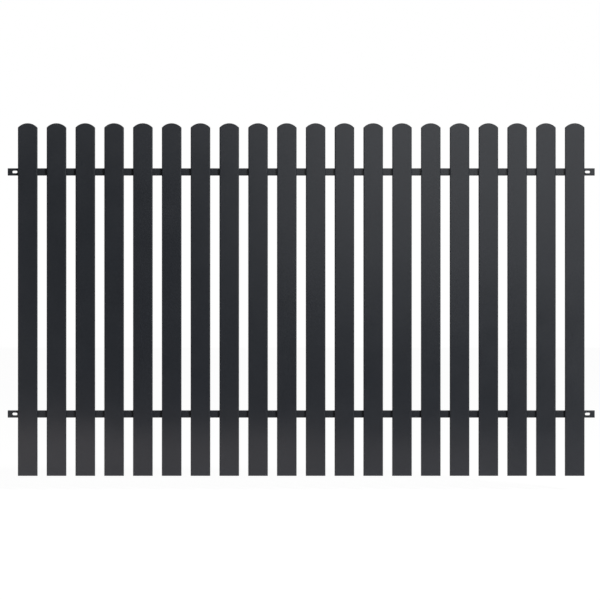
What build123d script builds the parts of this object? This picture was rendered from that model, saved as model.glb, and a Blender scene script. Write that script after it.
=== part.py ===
from build123d import *
import os

# Steel picket fence panel: folded sheet pickets with crowned tops, welded to the front of two tube rails.
# Each rail runs past the outer pickets, and the slots in its ends take the bolts of a post.
# Frame, in millimetres: X runs along the panel, left to right as seen from the front, Y to the back, Z up.
# The origin lies on the back face of the lower rail, at the middle of its length and height.

# Driving dimensions of the pickets
picket_count = 20
picket_pitch = 98.0
picket_width = 67.0
picket_height = 1200.0
picket_depth = 12.0
crown_rise = 15.0
sheet_thickness = 1.0
bend_radius = 3.0
lip_width = 14.0

# Driving dimensions of the rails
rail_height = 25.0
rail_depth = 15.0
rail_wall = 1.5
rail_corner_radius = 1.0
rail_overhang = 35.5
rail_spacing = 825.0
foot_to_lower_rail = 210.0

# Driving dimensions of the bolt slots in the rail ends
slot_length = 18.0
slot_width = 9.0
slot_end_margin = 15.0

# Sizes and places that follow from the driving dimensions
picket_row = (picket_count - 1) * picket_pitch
rail_length = picket_row + picket_width + 2 * rail_overhang
slot_spacing = rail_length - 2 * slot_end_margin - slot_length
picket_foot = -foot_to_lower_rail
picket_top = picket_foot + picket_height
picket_middle_y = -rail_depth - picket_depth / 2
crown_radius = ((picket_width / 2) ** 2 + crown_rise**2) / (2 * crown_rise)
crown_centre = picket_top - crown_radius


def tube_section(width, height, wall, inner_radius):
    """A hollow rectangle whose corners are bent round with one inner radius."""
    outer = RectangleRounded(width, height, inner_radius + wall)
    inner = RectangleRounded(width - 2 * wall, height - 2 * wall, inner_radius)
    return outer - inner


def picket_section():
    """The folded sheet seen from above: flat face to the front, two sides, and two lips turned in at the back."""
    mouth = Rectangle(picket_width - 2 * lip_width, picket_depth, align=(Align.CENTER, Align.MIN))
    return tube_section(picket_width, picket_depth, sheet_thickness, bend_radius) - mouth


def crown_cutter():
    """What is punched away above the round top of a picket."""
    blank = Rectangle(2 * picket_width, 2 * crown_radius, align=(Align.CENTER, Align.MIN))
    outline = Plane.XZ.offset(-picket_middle_y) * Pos(0, crown_centre) * (blank - Circle(crown_radius))
    return extrude(outline, picket_depth, both=True)


def picket():
    """One picket at the middle of the panel, with its back lips on the front plane of the rails."""
    section = Pos(0, picket_middle_y, picket_foot) * picket_section()
    return extrude(section, picket_height) - crown_cutter()


def rail():
    """The lower rail: a tube with a bolt slot through its front and back walls near each end."""
    section = Plane.YZ * tube_section(rail_depth, rail_height, rail_wall, rail_corner_radius)
    tube = Pos(0, -rail_depth / 2, 0) * extrude(section, rail_length / 2, both=True)
    slot = extrude(Plane.XZ * SlotOverall(slot_length, slot_width), 2 * rail_depth, both=True)
    slots = [Pos(side * slot_spacing / 2, 0, 0) * slot for side in (-1, 1)]
    return tube - slots


def fence_panel():
    """Every piece of the panel by name, in its place."""
    one_rail = rail()
    one_picket = picket()
    pieces = {"lower_rail": one_rail, "upper_rail": Pos(0, 0, rail_spacing) * one_rail}
    for number in range(picket_count):
        place = Pos(number * picket_pitch - picket_row / 2, 0, 0)
        pieces[f"picket_{number + 1:02d}"] = place * one_picket
    return pieces


os.makedirs("parts", exist_ok=True)
for name, piece in fence_panel().items():
    export_step(piece, os.path.join("parts", f"{name}.step"))
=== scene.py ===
import math
import random

import bmesh
import bpy
from bpy.props import FloatProperty, FloatVectorProperty, IntProperty, PointerProperty
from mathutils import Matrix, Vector


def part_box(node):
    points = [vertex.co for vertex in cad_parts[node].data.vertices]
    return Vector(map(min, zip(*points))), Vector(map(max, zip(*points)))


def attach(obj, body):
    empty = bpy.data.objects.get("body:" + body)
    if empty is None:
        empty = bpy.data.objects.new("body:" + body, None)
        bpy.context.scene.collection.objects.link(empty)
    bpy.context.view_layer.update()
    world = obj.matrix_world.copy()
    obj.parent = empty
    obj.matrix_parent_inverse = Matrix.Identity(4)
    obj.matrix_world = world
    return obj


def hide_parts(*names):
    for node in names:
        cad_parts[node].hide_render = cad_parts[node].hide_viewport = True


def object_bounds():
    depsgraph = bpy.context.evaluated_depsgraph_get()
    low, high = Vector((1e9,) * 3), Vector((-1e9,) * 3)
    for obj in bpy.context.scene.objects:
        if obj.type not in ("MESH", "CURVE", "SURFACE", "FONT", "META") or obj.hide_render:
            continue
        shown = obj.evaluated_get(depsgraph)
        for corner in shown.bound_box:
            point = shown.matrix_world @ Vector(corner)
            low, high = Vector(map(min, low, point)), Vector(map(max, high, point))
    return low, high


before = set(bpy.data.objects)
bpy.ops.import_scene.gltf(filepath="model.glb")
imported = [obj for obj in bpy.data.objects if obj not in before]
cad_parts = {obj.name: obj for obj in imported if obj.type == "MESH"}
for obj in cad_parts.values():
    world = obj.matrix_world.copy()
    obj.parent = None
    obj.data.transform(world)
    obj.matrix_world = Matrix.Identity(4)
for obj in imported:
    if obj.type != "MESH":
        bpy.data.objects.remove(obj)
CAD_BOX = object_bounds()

bl_info = {
    "name": "Steel picket fence panel",
    "version": (1, 0, 0),
    "blender": (4, 5, 0),
    "location": "3D View > Sidebar > Fence",
    "description": "Folds the pickets, cuts the rails, lays the welds and lights a steel picket fence",
    "category": "Object",
}

# The frame's own pieces and places
BODY = "root"
PICKETS = sorted(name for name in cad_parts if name.startswith("picket_"))
LOWER_RAIL, UPPER_RAIL = "lower_rail", "upper_rail"
PICKET_LOW, PICKET_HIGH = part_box(PICKETS[0])
RAIL_LOW, RAIL_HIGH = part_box(LOWER_RAIL)
RAIL_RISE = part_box(UPPER_RAIL)[0].z - RAIL_LOW.z
PANEL_MIDDLE = (CAD_BOX[0] + CAD_BOX[1]) / 2

# Points nearer than this count as one place
TOUCH = 1e-5

# Edges sharper than the first angle are rounded, bends softer than the second are shaded smooth
ROUND_ANGLE, SMOOTH_ANGLE = math.radians(40), math.radians(50)
ROUND_STEPS = 2

# How strongly large faces lead the shading, where 50 is even and 100 the most
FLAT_WEIGHT = 100

# How many times a cutter is as long as what it cuts
CROWN_REACH, SLOT_REACH = 3, 4

# Share of a tube's wall past which a face belongs to the inside
INNER_SHARE = 0.6

# Start of the random draws for the weld beads
WELD_SEED = 160

# Roughness of the coat on flat steel and on a weld
SATIN, WELD_SATIN = 0.30, 0.36

# Slow waves of thin sheet: height, waves a metre across and along a picket, scale and detail of the noise
SHEET_WAVE, WAVE_STRETCH = 0.00018, (6.0, 6.0, 1.4)
WAVE_SCALE, WAVE_DETAIL = 1.0, 1.0

# How many times higher the orange peel is over a weld
WELD_PEEL = 3.0

# Where most of a noise lies
NOISE_LOW, NOISE_HIGH = 0.3, 0.7

# Noises of the coat: waves a metre, detail, lowest and highest value
CLOUD = (7.0, 5.0, 0.94, 1.06)
GRAIN = (650.0, 2.0, 0.92, 1.08)
HAZE = (11.0, 4.0, -0.025, 0.025)
PEEL_DETAIL = 3.0

# Inside a tube: depth from its end over which the paint fades, how ragged that is, and spangles a metre
PAINT_FADE = (0.03, 0.09)
RAGGED_SCALE, RAGGED_DETAIL, RAGGED_DEPTH = 90.0, 4.0, 0.05
SPANGLE_SCALE, SPANGLE_SHADE = 160.0, 0.8
PAINT_ROUGHNESS, ZINC_ROUGHNESS = 0.35, 0.5

# Light of the lamps, and light thrown back by a warm floor
PLAIN, WARM = (1.0, 1.0, 1.0), (1.0, 0.89, 0.86)

# A far lamp at the upper right: name, place, width and height, glow
KEY_LAMP = ("key_lamp", Vector((4.5, -7.5, 7.5)), (2.0, 2.0), 107.0)

# Soft cards in front of the panel: name, distance, left, right, bottom, top, glow, tint
CARDS = (
    ("right_card", 2.0, -0.163, 3.314, 0.441, 1.612, 0.78, PLAIN),
    ("upper_card", 2.05, -2.742, 1.463, 1.185, 1.395, 1.13, PLAIN),
    ("low_card", 2.0, 1.250, 2.600, -0.208, 0.320, 1.30, PLAIN),
    ("left_card", 2.0, -2.400, -1.250, -0.200, 0.500, 0.62, PLAIN),
    ("low_board_1", 0.45, -1.700, -0.700, -0.255, -0.051, 0.86, WARM),
    ("low_board_2", 0.45, -0.700, 0.050, -0.255, -0.079, 0.71, WARM),
    ("low_board_3", 0.45, 0.050, 0.750, -0.255, -0.101, 0.57, WARM),
    ("low_board_4", 0.45, 0.750, 1.700, -0.255, -0.123, 0.34, WARM),
)

# The dim room in front of the panel: size, lift off the floor, colour and glow
ROOM_SIZE, ROOM_LIFT = Vector((30.0, 22.0, 16.0)), 0.004
ROOM_COLOUR, ROOM_GLOW = (0.9, 1.0, 1.1, 1.0), 0.016

# The pale floor: its own colour and roughness, and the glow it shows the camera, with that glow's share
FLOOR_COLOUR, FLOOR_ROUGHNESS = (0.8, 0.8, 0.8, 1.0), 0.9
FLOOR_GLOW, FLOOR_GLOW_SHARE = 1.06, 0.9

# Colour of the background, and strength of the plain light from all round
WHITE, AMBIENT = (1.0, 1.0, 1.0, 1.0), 0.3


class FencePicketSizes(bpy.types.PropertyGroup):
    """Sizes of one folded picket"""

    width: FloatProperty(
        name="Width", description="Width of the flat face", unit="LENGTH",
        default=PICKET_HIGH.x - PICKET_LOW.x,
    )
    height: FloatProperty(
        name="Height", description="Height from foot to crown", unit="LENGTH",
        default=PICKET_HIGH.z - PICKET_LOW.z,
    )
    depth: FloatProperty(
        name="Depth", description="Depth from face to lips", unit="LENGTH",
        default=PICKET_HIGH.y - PICKET_LOW.y,
    )
    sheet: FloatProperty(
        name="Sheet", description="Thickness of the sheet", unit="LENGTH", default=0.001
    )
    bend_radius: FloatProperty(
        name="Bend", description="Outer radius of a fold", unit="LENGTH", default=0.004
    )
    bend_steps: IntProperty(name="Bend steps", description="Faces around one fold", default=7)
    lip: FloatProperty(
        name="Lip", description="Width of a lip at the back", unit="LENGTH", default=0.014
    )
    crown_rise: FloatProperty(
        name="Crown rise", description="Rise of the round top", unit="LENGTH", default=0.015
    )
    crown_steps: IntProperty(
        name="Crown steps", description="Corners of the full crown circle", default=240
    )
    edge_radius: FloatProperty(
        name="Edge", description="Rounding of a cut edge", unit="LENGTH", default=0.00022
    )


class FenceRailSizes(bpy.types.PropertyGroup):
    """Sizes of one rail tube"""

    wall: FloatProperty(
        name="Wall", description="Thickness of the tube's wall", unit="LENGTH", default=0.0015
    )
    corner_radius: FloatProperty(
        name="Corner", description="Outer corner radius", unit="LENGTH", default=0.0025
    )
    corner_steps: IntProperty(name="Corner steps", description="Faces around one corner", default=7)
    slot_length: FloatProperty(
        name="Slot length", description="Length of a bolt slot", unit="LENGTH", default=0.018
    )
    slot_width: FloatProperty(
        name="Slot width", description="Width of a bolt slot", unit="LENGTH", default=0.009
    )
    slot_margin: FloatProperty(
        name="Slot margin", description="Steel between the slot and the end", unit="LENGTH",
        default=0.015,
    )
    slot_steps: IntProperty(
        name="Slot steps", description="Corners of a slot's two round ends", default=48
    )
    edge_radius: FloatProperty(
        name="Edge", description="Rounding of a cut edge", unit="LENGTH", default=0.0003
    )


class FenceWeldSizes(bpy.types.PropertyGroup):
    """Sizes of one weld bead"""

    length: FloatProperty(
        name="Length", description="Length of a bead", unit="LENGTH", default=0.0085
    )
    leg: FloatProperty(
        name="Leg", description="Reach of a bead over lip and rail", unit="LENGTH", default=0.0031
    )
    stand_off: FloatProperty(
        name="Stand off", description="Share of the leg from the lip to a bead's middle", default=0.35
    )
    sides: IntProperty(name="Sides", description="Faces around a bead", default=8)
    ripples: IntProperty(name="Ripples", description="Rings along a bead", default=9)
    ripple_depth: FloatProperty(
        name="Ripple depth", description="Share by which a ring is pinched", default=0.17
    )
    scatter: FloatProperty(name="Scatter", description="Share by which beads differ", default=0.12)


class FencePaint(bpy.types.PropertyGroup):
    """Colours and finish of the powder coat and of the bare tube inside"""

    picket_colour: FloatVectorProperty(
        name="Pickets", description="Powder coat on the pickets", subtype="COLOR", size=4,
        default=(0.0195, 0.0220, 0.0270, 1.0),
    )
    rail_colour: FloatVectorProperty(
        name="Rails", description="Powder coat on the rails", subtype="COLOR", size=4,
        default=(0.0185, 0.0210, 0.0255, 1.0),
    )
    zinc_colour: FloatVectorProperty(
        name="Zinc", description="Bare zinc inside a tube", subtype="COLOR", size=4,
        default=(0.32, 0.33, 0.34, 1.0),
    )
    peel_size: FloatProperty(
        name="Peel size", description="Size of the coat's small waves", unit="LENGTH",
        default=0.0016,
    )
    peel_height: FloatProperty(
        name="Peel height", description="Height of the coat's small waves", unit="LENGTH",
        default=0.000024,
    )


class FenceStageSizes(bpy.types.PropertyGroup):
    """Sizes and places of the camera, the floor and the dim room"""

    camera_distance: FloatProperty(
        name="Camera distance", description="From the pickets' faces to the camera", unit="LENGTH",
        default=10.0,
    )
    frame_width: FloatProperty(
        name="Frame width", description="Width that the picture covers at the pickets", unit="LENGTH",
        default=2.0416,
    )
    camera_side: FloatProperty(
        name="Camera side", description="Camera right of the panel's middle", unit="LENGTH",
        default=-0.0041,
    )
    camera_lift: FloatProperty(
        name="Camera lift", description="Camera above the panel's middle", unit="LENGTH",
        default=-0.0015,
    )
    ground_gap: FloatProperty(
        name="Ground gap", description="Air between the feet and the floor", unit="LENGTH",
        default=0.05,
    )
    floor_size: FloatProperty(
        name="Floor size", description="Side of the floor", unit="LENGTH", default=60.0
    )
    white_strip: FloatProperty(
        name="White strip", description="Depth of white floor left in front of the pickets",
        unit="LENGTH", default=0.22,
    )


def deselect_all():
    """Leaves nothing selected, in object mode."""
    if bpy.context.mode != "OBJECT":
        bpy.ops.object.mode_set(mode="OBJECT")
    bpy.ops.object.select_all(action="DESELECT")


def make_active(piece):
    """Selects one piece alone and makes it the active one."""
    deselect_all()
    piece.select_set(True)
    bpy.context.view_layer.objects.active = piece


def set_in_place(piece):
    """Puts a piece's place, turn and size into its mesh."""
    make_active(piece)
    bpy.ops.object.transform_apply(location=True, rotation=True, scale=True)


def throw_away(piece):
    """Deletes a piece that has done its work."""
    make_active(piece)
    bpy.ops.object.delete()


def pick(piece, kind, test):
    """In edit mode, selects only the vertices, edges or faces whose corners pass a test together."""
    bpy.ops.mesh.select_mode(type=kind)
    bpy.ops.mesh.select_all(action="DESELECT")
    work = bmesh.from_edit_mesh(piece.data)
    parts = {"VERT": work.verts, "EDGE": work.edges, "FACE": work.faces}[kind]
    for part in parts:
        corners = [part.co] if kind == "VERT" else [corner.co for corner in part.verts]
        if test(*corners):
            part.select_set(True)
    bmesh.update_edit_mesh(piece.data)


def finish_with(piece, kind, **settings):
    """Adds one modifier with these settings and applies it."""
    make_active(piece)
    bpy.ops.object.modifier_add(type=kind)
    modifier = piece.modifiers[-1]
    for name, value in settings.items():
        setattr(modifier, name, value)
    bpy.ops.object.modifier_apply(modifier=modifier.name)


def cut_with(piece, cutter, operation):
    """Cuts a piece by another one, which is then thrown away."""
    finish_with(piece, "BOOLEAN", operation=operation, object=cutter, solver="EXACT")
    throw_away(cutter)


def soften(piece, edge_radius):
    """Rounds the cut edges a little and smooths the bends without tilting the flats."""
    finish_with(
        piece, "BEVEL", width=edge_radius, segments=ROUND_STEPS, limit_method="ANGLE",
        angle_limit=ROUND_ANGLE,
    )
    make_active(piece)
    bpy.ops.object.shade_smooth_by_angle(angle=SMOOTH_ANGLE)
    finish_with(piece, "WEIGHTED_NORMAL", keep_sharp=True, weight=FLAT_WEIGHT)


def copy_of(piece, name, shift):
    """A copy of a piece with its own mesh, moved by a distance."""
    make_active(piece)
    bpy.ops.object.duplicate(linked=False)
    copy = bpy.context.object
    copy.name = name
    bpy.ops.transform.translate(value=shift)
    return copy


def belongs_to_panel(piece, slot, *nodes):
    """Lets a piece ride on the panel and stand for its nodes, which it hides; the slot it is given is not
    used.
    """
    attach(piece, BODY)
    if nodes:
        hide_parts(*nodes)


def is_upright(start, end):
    """True for the ends of an upright edge."""
    return abs(start.x - end.x) < TOUCH and abs(start.y - end.y) < TOUCH


def fold_picket(sizes):
    """One picket at the middle of the panel: a flat sheet folded into sides and lips."""
    half = sizes.width / 2
    middle = (PICKET_LOW.z + PICKET_HIGH.z) / 2
    deselect_all()
    bpy.ops.mesh.primitive_plane_add(
        size=1, location=(0, PICKET_LOW.y, middle), rotation=(math.pi / 2, 0, 0)
    )
    picket = bpy.context.object
    picket.scale = (sizes.width, sizes.height, 1)
    set_in_place(picket)
    bpy.ops.object.mode_set(mode="EDIT")
    for side in (-1, 1):
        pick(picket, "EDGE", lambda start, end: min(start.x * side, end.x * side) > half - TOUCH)
        bpy.ops.mesh.extrude_edges_move(TRANSFORM_OT_translate={"value": (0, sizes.depth, 0)})
        bpy.ops.mesh.extrude_edges_move(TRANSFORM_OT_translate={"value": (-side * sizes.lip, 0, 0)})
    pick(picket, "EDGE", lambda start, end: is_upright(start, end) and abs(start.x) > half - TOUCH)
    bpy.ops.mesh.bevel(offset=sizes.bend_radius, segments=sizes.bend_steps, affect="EDGES")
    bpy.ops.mesh.select_all(action="SELECT")
    bpy.ops.mesh.normals_make_consistent(inside=False)
    bpy.ops.object.mode_set(mode="OBJECT")
    finish_with(picket, "SOLIDIFY", thickness=sizes.sheet, offset=-1, use_even_offset=True)
    return picket


def crown_template(sizes):
    """A tall block with a round top, which leaves the crown of a picket."""
    radius = (sizes.width**2 / 4 + sizes.crown_rise**2) / (2 * sizes.crown_rise)
    centre = PICKET_HIGH.z - radius
    middle = (PICKET_LOW.y + PICKET_HIGH.y) / 2
    deselect_all()
    bpy.ops.mesh.primitive_cylinder_add(
        vertices=sizes.crown_steps, radius=radius, depth=CROWN_REACH * sizes.depth,
        location=(0, middle, centre), rotation=(math.pi / 2, 0, 0),
    )
    template = bpy.context.object
    set_in_place(template)
    bpy.ops.object.mode_set(mode="EDIT")
    pick(template, "VERT", lambda corner: corner.z < centre)
    bpy.ops.transform.translate(value=(0, 0, -sizes.height))
    bpy.ops.object.mode_set(mode="OBJECT")
    return template


def slot_cutter(sizes, middle):
    """A bar with two round sides, longer than the rail is deep, which leaves a bolt slot."""
    deselect_all()
    bpy.ops.mesh.primitive_cylinder_add(
        vertices=sizes.slot_steps, radius=sizes.slot_width / 2,
        depth=SLOT_REACH * (RAIL_HIGH.y - RAIL_LOW.y),
        location=middle, rotation=(math.pi / 2, math.pi / sizes.slot_steps, 0),
    )
    cutter = bpy.context.object
    set_in_place(cutter)
    stretch = (sizes.slot_length - sizes.slot_width) / 2
    bpy.ops.object.mode_set(mode="EDIT")
    for side in (-1, 1):
        pick(cutter, "VERT", lambda corner: (corner.x - middle.x) * side > TOUCH)
        bpy.ops.transform.translate(value=(side * stretch, 0, 0))
    bpy.ops.object.mode_set(mode="OBJECT")
    return cutter


def shape_rail(sizes):
    """The lower rail: a tube with round corners, open ends and a slot near each end."""
    middle = (RAIL_LOW + RAIL_HIGH) / 2
    size = RAIL_HIGH - RAIL_LOW
    deselect_all()
    bpy.ops.mesh.primitive_cube_add(size=1, location=middle)
    rail = bpy.context.object
    rail.scale = size
    set_in_place(rail)
    bpy.ops.object.mode_set(mode="EDIT")
    pick(rail, "FACE", lambda *corners: max(c.x for c in corners) - min(c.x for c in corners) < TOUCH)
    bpy.ops.mesh.delete(type="ONLY_FACE")
    pick(rail, "EDGE", lambda start, end: abs(start.x - end.x) > TOUCH)
    bpy.ops.mesh.bevel(offset=sizes.corner_radius, segments=sizes.corner_steps, affect="EDGES")
    bpy.ops.mesh.select_all(action="SELECT")
    bpy.ops.mesh.normals_make_consistent(inside=False)
    bpy.ops.object.mode_set(mode="OBJECT")
    finish_with(rail, "SOLIDIFY", thickness=sizes.wall, offset=-1, use_even_offset=True)
    reach = size.x / 2 - sizes.slot_margin - sizes.slot_length / 2
    for side in (-1, 1):
        cut_with(rail, slot_cutter(sizes, middle + Vector((side * reach, 0, 0))), "DIFFERENCE")
    return rail


def shape_bead(sizes):
    """One weld bead about the origin, along X, pinched into ripples."""
    deselect_all()
    bpy.ops.mesh.primitive_uv_sphere_add(
        segments=sizes.sides, ring_count=sizes.ripples, radius=1, rotation=(0, math.pi / 2, 0)
    )
    bead = bpy.context.object
    bead.scale = (sizes.leg, sizes.leg, sizes.length / 2)
    set_in_place(bead)
    pinch = 1 - sizes.ripple_depth
    bpy.ops.object.mode_set(mode="EDIT")
    for ring in range(1, sizes.ripples, 2):
        place = -sizes.length / 2 * math.cos(math.pi * ring / sizes.ripples)
        pick(bead, "VERT", lambda corner: abs(corner.x - place) < TOUCH)
        bpy.ops.transform.resize(value=(1, pinch, pinch), center_override=(0, 0, 0))
    bpy.ops.object.mode_set(mode="OBJECT")
    bpy.ops.object.shade_smooth()
    return bead


class FENCE_OT_pickets(bpy.types.Operator):
    """Fold one picket, leave its crown, and set a copy in the place of every picket"""

    bl_idname = "fence.pickets"
    bl_label = "Pickets"

    def execute(self, context):
        sizes = context.scene.fence_picket
        model = fold_picket(sizes)
        cut_with(model, crown_template(sizes), "INTERSECT")
        soften(model, sizes.edge_radius)
        model.data.materials.append(picket_paint(context.scene.fence_paint))
        for node in PICKETS:
            low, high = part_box(node)
            place = (low.x + high.x) / 2
            picket = copy_of(model, f"folded_{node}", (place, 0, 0))
            set_in_place(picket)
            belongs_to_panel(picket, "picket_paint", node)
        throw_away(model)
        return {"FINISHED"}


class FENCE_OT_rails(bpy.types.Operator):
    """Shape one rail tube with its bolt slots and set a copy in the place of the other"""

    bl_idname = "fence.rails"
    bl_label = "Rails"

    def execute(self, context):
        sizes = context.scene.fence_rail
        paint = context.scene.fence_paint
        lower = shape_rail(sizes)
        soften(lower, sizes.edge_radius)
        lower.name = "lower_rail_tube"
        lower.data.materials.append(rail_paint(paint))
        lower.data.materials.append(tube_inside(paint))
        self.bare_inside(lower, sizes)
        upper = copy_of(lower, "upper_rail_tube", (0, 0, RAIL_RISE))
        set_in_place(upper)
        belongs_to_panel(lower, "rail_paint", LOWER_RAIL)
        belongs_to_panel(upper, "rail_paint", UPPER_RAIL)
        return {"FINISHED"}

    def bare_inside(self, rail, sizes):
        """Gives the inner wall of a tube its bare zinc."""
        middle = (RAIL_LOW + RAIL_HIGH) / 2
        reach = (RAIL_HIGH - RAIL_LOW) / 2 - Vector((0, sizes.wall, sizes.wall)) * INNER_SHARE
        make_active(rail)
        bpy.ops.object.mode_set(mode="EDIT")
        pick(rail, "FACE", lambda *corners: all(
            abs(c.y - middle.y) < reach.y and abs(c.z - middle.z) < reach.z for c in corners
        ))
        rail.active_material_index = 1
        bpy.ops.object.material_slot_assign()
        bpy.ops.object.mode_set(mode="OBJECT")


class FENCE_OT_welds(bpy.types.Operator):
    """Lay a bead where each lip of each picket meets the upper and lower edge of each rail"""

    bl_idname = "fence.welds"
    bl_label = "Welds"

    def execute(self, context):
        sizes = context.scene.fence_weld
        picket = context.scene.fence_picket
        draw = random.Random(WELD_SEED)
        model = shape_bead(sizes)
        model.data.materials.append(weld_paint(context.scene.fence_paint))
        for rail in (LOWER_RAIL, UPPER_RAIL):
            beads = []
            for node in PICKETS:
                beads += self.lay_beads(model, rail, node, sizes, picket, draw)
            deselect_all()
            for bead in beads:
                bead.select_set(True)
            bpy.context.view_layer.objects.active = beads[0]
            bpy.ops.object.join()
            beads[0].name = f"{rail}_welds"
            set_in_place(beads[0])
            belongs_to_panel(beads[0], "rail_paint")
        throw_away(model)
        return {"FINISHED"}

    def lay_beads(self, model, rail, node, sizes, picket, draw):
        """The four beads between one picket and one rail, on the flat of its lips."""
        rail_low, rail_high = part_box(rail)
        low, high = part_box(node)
        beads = []
        for side in (-1, 1):
            lip = (low.x + high.x) / 2 + side * (picket.width - picket.lip - picket.bend_radius) / 2
            for edge in (rail_low.z, rail_high.z):
                place = Vector((lip, high.y + sizes.leg * sizes.stand_off, edge))
                bead = copy_of(model, f"bead_{node}", place)
                bead.scale = [draw.uniform(1 - sizes.scatter, 1 + sizes.scatter) for axis in range(3)]
                beads.append(bead)
        return beads


class FENCE_OT_stage(bpy.types.Operator):
    """Set up the floor, the dim room in front, the lamps and the camera"""

    bl_idname = "fence.stage"
    bl_label = "Stage"

    def execute(self, context):
        sizes = context.scene.fence_stage
        self.lay_floor(sizes)
        self.raise_room(sizes)
        self.light_world(context.scene)
        self.hang_lamps()
        self.place_camera(context.scene, sizes)
        context.scene.view_settings.view_transform = "Standard"
        return {"FINISHED"}

    def lay_floor(self, sizes):
        """A pale floor below the feet."""
        deselect_all()
        bpy.ops.mesh.primitive_plane_add(size=sizes.floor_size, location=(0, 0, floor_level(sizes)))
        floor = bpy.context.object
        floor.name = "floor"
        floor.data.materials.append(floor_white())

    def raise_room(self, sizes):
        """A dim grey room in front of the panel, open towards it, which the camera looks through."""
        near = CAD_BOX[0].y - sizes.white_strip
        bottom = floor_level(sizes) + ROOM_LIFT
        deselect_all()
        bpy.ops.mesh.primitive_cube_add(
            size=1, location=(0, near - ROOM_SIZE.y / 2, bottom + ROOM_SIZE.z / 2)
        )
        room = bpy.context.object
        room.name = "dim_room"
        room.scale = ROOM_SIZE
        set_in_place(room)
        bpy.ops.object.mode_set(mode="EDIT")
        pick(room, "FACE", lambda *corners: all(abs(c.y - near) < TOUCH for c in corners))
        bpy.ops.mesh.delete(type="FACE")
        bpy.ops.mesh.select_all(action="SELECT")
        bpy.ops.mesh.flip_normals()
        bpy.ops.object.mode_set(mode="OBJECT")
        room.data.materials.append(dim_grey())
        room.visible_camera = False
        room.visible_shadow = False
        room.visible_transmission = False

    def light_world(self, scene):
        """White behind everything that is looked at, and a plain grey light on it."""
        world = bpy.data.worlds.new("studio")
        scene.world = world
        world.use_nodes = True
        nodes, links = world.node_tree.nodes, world.node_tree.links
        ambient = nodes["Background"]
        ambient.inputs["Color"].default_value = WHITE
        ambient.inputs["Strength"].default_value = AMBIENT
        white = nodes.new("ShaderNodeBackground")
        white.inputs["Color"].default_value = WHITE
        mix = nodes.new("ShaderNodeMixShader")
        links.new(looked_at(nodes, links), mix.inputs["Fac"])
        links.new(ambient.outputs["Background"], mix.inputs[1])
        links.new(white.outputs["Background"], mix.inputs[2])
        links.new(mix.outputs["Shader"], nodes["World Output"].inputs["Surface"])

    def hang_lamps(self):
        """A far key lamp at the upper right, and soft cards in front."""
        key = self.hang_lamp(*KEY_LAMP, PLAIN)
        key.rotation_euler = (PANEL_MIDDLE - key.location).to_track_quat("-Z", "Y").to_euler()
        for name, distance, left, right, bottom, top, glow, tint in CARDS:
            place = ((left + right) / 2, CAD_BOX[0].y - distance, (bottom + top) / 2)
            card = self.hang_lamp(name, place, (right - left, top - bottom), glow, tint)
            card.rotation_euler = (math.pi / 2, 0, 0)

    def hang_lamp(self, name, place, size, glow, tint):
        """A flat lamp of a given glow, which the camera doesn't see."""
        deselect_all()
        bpy.ops.object.light_add(type="AREA", location=place)
        lamp = bpy.context.object
        lamp.name = name
        lamp.data.shape = "RECTANGLE"
        lamp.data.size, lamp.data.size_y = size
        lamp.data.energy = glow * math.pi * size[0] * size[1]
        lamp.data.color = tint
        lamp.visible_camera = False
        return lamp

    def place_camera(self, scene, sizes):
        """A long lens straight in front of the panel."""
        aim = PANEL_MIDDLE + Vector((sizes.camera_side, 0, sizes.camera_lift))
        place = (aim.x, CAD_BOX[0].y - sizes.camera_distance, aim.z)
        bpy.ops.object.camera_add(location=place, rotation=(math.pi / 2, 0, 0))
        camera = bpy.context.object
        camera.name = "front_camera"
        camera.data.lens = camera.data.sensor_width * sizes.camera_distance / sizes.frame_width
        camera.data.clip_end = sizes.floor_size
        scene.camera = camera


def floor_level(sizes):
    """Height of the floor below the feet."""
    return CAD_BOX[0].z - sizes.ground_gap


def looked_at(nodes, links):
    """A socket that is 1 where the camera looks straight, in a mirror or through glass."""
    path = nodes.new("ShaderNodeLightPath")
    seen = path.outputs["Is Camera Ray"]
    for other in ("Is Glossy Ray", "Is Transmission Ray"):
        either = nodes.new("ShaderNodeMath")
        either.operation = "MAXIMUM"
        links.new(seen, either.inputs[0])
        links.new(path.outputs[other], either.inputs[1])
        seen = either.outputs["Value"]
    return seen


def new_material(name):
    """A material with its shader, nodes and links."""
    material = bpy.data.materials.new(name)
    material.use_nodes = True
    nodes, links = material.node_tree.nodes, material.node_tree.links
    return material, nodes["Principled BSDF"], nodes, links


def floor_white():
    """A pale floor, mostly white where it is looked at, with a share of the panel's shadow left on it."""
    material, shader, nodes, links = new_material("floor_white")
    shader.inputs["Base Color"].default_value = FLOOR_COLOUR
    shader.inputs["Roughness"].default_value = FLOOR_ROUGHNESS
    shader.inputs["Specular IOR Level"].default_value = 0.0
    white = nodes.new("ShaderNodeEmission")
    white.inputs["Color"].default_value = WHITE
    white.inputs["Strength"].default_value = FLOOR_GLOW
    share = nodes.new("ShaderNodeMath")
    share.operation = "MULTIPLY"
    share.inputs[1].default_value = FLOOR_GLOW_SHARE
    links.new(looked_at(nodes, links), share.inputs[0])
    mix = nodes.new("ShaderNodeMixShader")
    links.new(share.outputs["Value"], mix.inputs["Fac"])
    links.new(shader.outputs["BSDF"], mix.inputs[1])
    links.new(white.outputs["Emission"], mix.inputs[2])
    links.new(mix.outputs["Shader"], nodes["Material Output"].inputs["Surface"])
    return material


def dim_grey():
    """The even grey glow of a dim room."""
    material, shader, nodes, links = new_material("dim_grey")
    glow = nodes.new("ShaderNodeEmission")
    glow.inputs["Color"].default_value = ROOM_COLOUR
    glow.inputs["Strength"].default_value = ROOM_GLOW
    links.new(glow.outputs["Emission"], nodes["Material Output"].inputs["Surface"])
    return material


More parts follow.
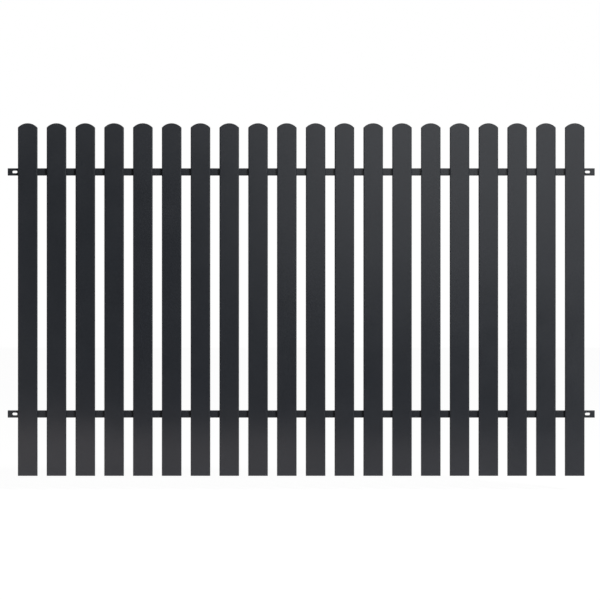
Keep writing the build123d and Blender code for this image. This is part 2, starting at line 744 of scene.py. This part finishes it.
def new_group(name, inputs, outputs):
    """An empty node group with sockets of these names and kinds."""
    tree = bpy.data.node_groups.new(name, "ShaderNodeTree")
    for label, kind in inputs.items():
        tree.interface.new_socket(label, in_out="INPUT", socket_type=kind)
    for label, kind in outputs.items():
        tree.interface.new_socket(label, in_out="OUTPUT", socket_type=kind)
    return tree, tree.nodes.new("NodeGroupInput"), tree.nodes.new("NodeGroupOutput")


def set_socket(tree, socket, value):
    """Links another node's socket to a socket, or sets a plain number on it."""
    if isinstance(value, bpy.types.NodeSocket):
        tree.links.new(value, socket)
    else:
        socket.default_value = value


def add_noise(tree, place, scale, detail):
    """A noise of so many waves a metre."""
    noise = tree.nodes.new("ShaderNodeTexNoise")
    tree.links.new(place, noise.inputs["Vector"])
    set_socket(tree, noise.inputs["Scale"], scale)
    noise.inputs["Detail"].default_value = detail
    return noise.outputs["Fac"]


def add_math(tree, operation, *values):
    """One step of arithmetic with sockets and numbers."""
    node = tree.nodes.new("ShaderNodeMath")
    node.operation = operation
    for socket, value in zip(node.inputs, values):
        set_socket(tree, socket, value)
    return node.outputs["Value"]


def add_range(tree, value, low, high, to_low, to_high):
    """A value carried from one range to another and held there."""
    node = tree.nodes.new("ShaderNodeMapRange")
    tree.links.new(value, node.inputs["Value"])
    for label, number in (("From Min", low), ("From Max", high), ("To Min", to_low), ("To Max", to_high)):
        node.inputs[label].default_value = number
    return node.outputs["Result"]


def add_mottle(tree, place, scale, detail, lowest, highest):
    """A noise that varies between two values."""
    noise = add_noise(tree, place, scale, detail)
    return add_range(tree, noise, NOISE_LOW, NOISE_HIGH, lowest, highest)


def powder_coat():
    """Node group of the powder coat: cloudy colour and gloss, orange peel, and slow waves of thin sheet."""
    if "powder_coat" in bpy.data.node_groups:
        return bpy.data.node_groups["powder_coat"]
    number, colour = "NodeSocketFloat", "NodeSocketColor"
    tree, given, result = new_group(
        "powder_coat",
        {"Colour": colour, "Gloss": number, "Peel Size": number, "Peel Height": number, "Wave": number},
        {"Colour": colour, "Roughness": number, "Height": number},
    )
    links = tree.links
    place = tree.nodes.new("ShaderNodeTexCoord").outputs["Object"]
    shade = add_math(
        tree, "MULTIPLY", add_mottle(tree, place, *CLOUD), add_mottle(tree, place, *GRAIN)
    )
    tint = tree.nodes.new("ShaderNodeVectorMath")
    tint.operation = "SCALE"
    links.new(given.outputs["Colour"], tint.inputs["Vector"])
    links.new(shade, tint.inputs["Scale"])
    links.new(tint.outputs["Vector"], result.inputs["Colour"])
    haze = add_mottle(tree, place, *HAZE)
    links.new(add_math(tree, "ADD", given.outputs["Gloss"], haze), result.inputs["Roughness"])
    peel_scale = add_math(tree, "DIVIDE", 1.0, given.outputs["Peel Size"])
    peel = add_noise(tree, place, peel_scale, PEEL_DETAIL)
    peel = add_math(tree, "MULTIPLY", peel, given.outputs["Peel Height"])
    stretch = tree.nodes.new("ShaderNodeMapping")
    stretch.inputs["Scale"].default_value = WAVE_STRETCH
    links.new(place, stretch.inputs["Vector"])
    wave = add_noise(tree, stretch.outputs["Vector"], WAVE_SCALE, WAVE_DETAIL)
    height = add_math(tree, "MULTIPLY_ADD", wave, given.outputs["Wave"], peel)
    links.new(height, result.inputs["Height"])
    return tree


def coated(name, colour, paint, gloss, wave=0.0, peel=1.0):
    """A material with the powder coat on it."""
    material, shader, nodes, links = new_material(name)
    coat = nodes.new("ShaderNodeGroup")
    coat.node_tree = powder_coat()
    coat.inputs["Colour"].default_value = colour
    coat.inputs["Gloss"].default_value = gloss
    coat.inputs["Peel Size"].default_value = paint.peel_size
    coat.inputs["Peel Height"].default_value = paint.peel_height * peel
    coat.inputs["Wave"].default_value = wave
    bump = nodes.new("ShaderNodeBump")
    bump.inputs["Strength"].default_value = 1.0
    bump.inputs["Distance"].default_value = 1.0
    links.new(coat.outputs["Colour"], shader.inputs["Base Color"])
    links.new(coat.outputs["Roughness"], shader.inputs["Roughness"])
    links.new(coat.outputs["Height"], bump.inputs["Height"])
    links.new(bump.outputs["Normal"], shader.inputs["Normal"])
    return material


def picket_paint(paint):
    """Powder coat on the pickets."""
    return coated("picket_paint", paint.picket_colour, paint, SATIN, wave=SHEET_WAVE)


def rail_paint(paint):
    """Powder coat on the rails."""
    return coated("rail_paint", paint.rail_colour, paint, SATIN)


def weld_paint(paint):
    """Powder coat over the weld beads."""
    return coated("weld_paint", paint.rail_colour, paint, WELD_SATIN, peel=WELD_PEEL)


def tube_inside(paint):
    """Bare zinc inside a tube, with paint blown in at its ends."""
    material, shader, nodes, links = new_material("tube_inside")
    tree = material.node_tree
    place = nodes.new("ShaderNodeTexCoord").outputs["Object"]
    split = nodes.new("ShaderNodeSeparateXYZ")
    links.new(place, split.inputs["Vector"])
    depth = add_math(tree, "SUBTRACT", RAIL_HIGH.x, add_math(tree, "ABSOLUTE", split.outputs["X"]))
    noise = add_noise(tree, place, RAGGED_SCALE, RAGGED_DETAIL)
    ragged = add_math(tree, "MULTIPLY_ADD", noise, RAGGED_DEPTH, depth)
    bare = add_range(tree, ragged, *PAINT_FADE, 0.0, 1.0)
    spangle = nodes.new("ShaderNodeTexVoronoi")
    spangle.inputs["Scale"].default_value = SPANGLE_SCALE
    links.new(place, spangle.inputs["Vector"])
    tone = nodes.new("ShaderNodeMix")
    tone.data_type = "RGBA"
    tone.inputs["A"].default_value = [value * SPANGLE_SHADE for value in paint.zinc_colour[:3]] + [1.0]
    tone.inputs["B"].default_value = paint.zinc_colour
    links.new(spangle.outputs["Distance"], tone.inputs["Factor"])
    cover = nodes.new("ShaderNodeMix")
    cover.data_type = "RGBA"
    cover.inputs["A"].default_value = paint.rail_colour
    links.new(bare, cover.inputs["Factor"])
    links.new(tone.outputs["Result"], cover.inputs["B"])
    links.new(cover.outputs["Result"], shader.inputs["Base Color"])
    links.new(bare, shader.inputs["Metallic"])
    rough = add_range(tree, bare, 0.0, 1.0, PAINT_ROUGHNESS, ZINC_ROUGHNESS)
    links.new(rough, shader.inputs["Roughness"])
    return material


class FENCE_PT_panel(bpy.types.Panel):
    """Sizes, colours and steps of the fence panel"""

    bl_label = "Steel picket fence panel"
    bl_space_type = "VIEW_3D"
    bl_region_type = "UI"
    bl_category = "Fence"

    def draw(self, context):
        for group in GROUPS:
            box = self.layout.box()
            settings = getattr(context.scene, group)
            for name in settings.__annotations__:
                box.prop(settings, name)
        for step in STEPS:
            self.layout.operator(step.bl_idname)


GROUPS = {
    "fence_picket": FencePicketSizes,
    "fence_rail": FenceRailSizes,
    "fence_weld": FenceWeldSizes,
    "fence_paint": FencePaint,
    "fence_stage": FenceStageSizes,
}
STEPS = (FENCE_OT_pickets, FENCE_OT_rails, FENCE_OT_welds, FENCE_OT_stage)
CLASSES = (*GROUPS.values(), *STEPS, FENCE_PT_panel)


def register():
    """Makes the settings, steps and panel known to Blender."""
    for kind in CLASSES:
        bpy.utils.register_class(kind)
    for name, kind in GROUPS.items():
        setattr(bpy.types.Scene, name, PointerProperty(type=kind))


def unregister():
    """Takes them away again."""
    for name in GROUPS:
        delattr(bpy.types.Scene, name)
    for kind in reversed(CLASSES):
        bpy.utils.unregister_class(kind)


def main():
    """Makes the whole panel and its stage."""
    register()
    bpy.ops.fence.pickets()
    bpy.ops.fence.rails()
    bpy.ops.fence.welds()
    bpy.ops.fence.stage()


if __name__ == "__main__":
    main()
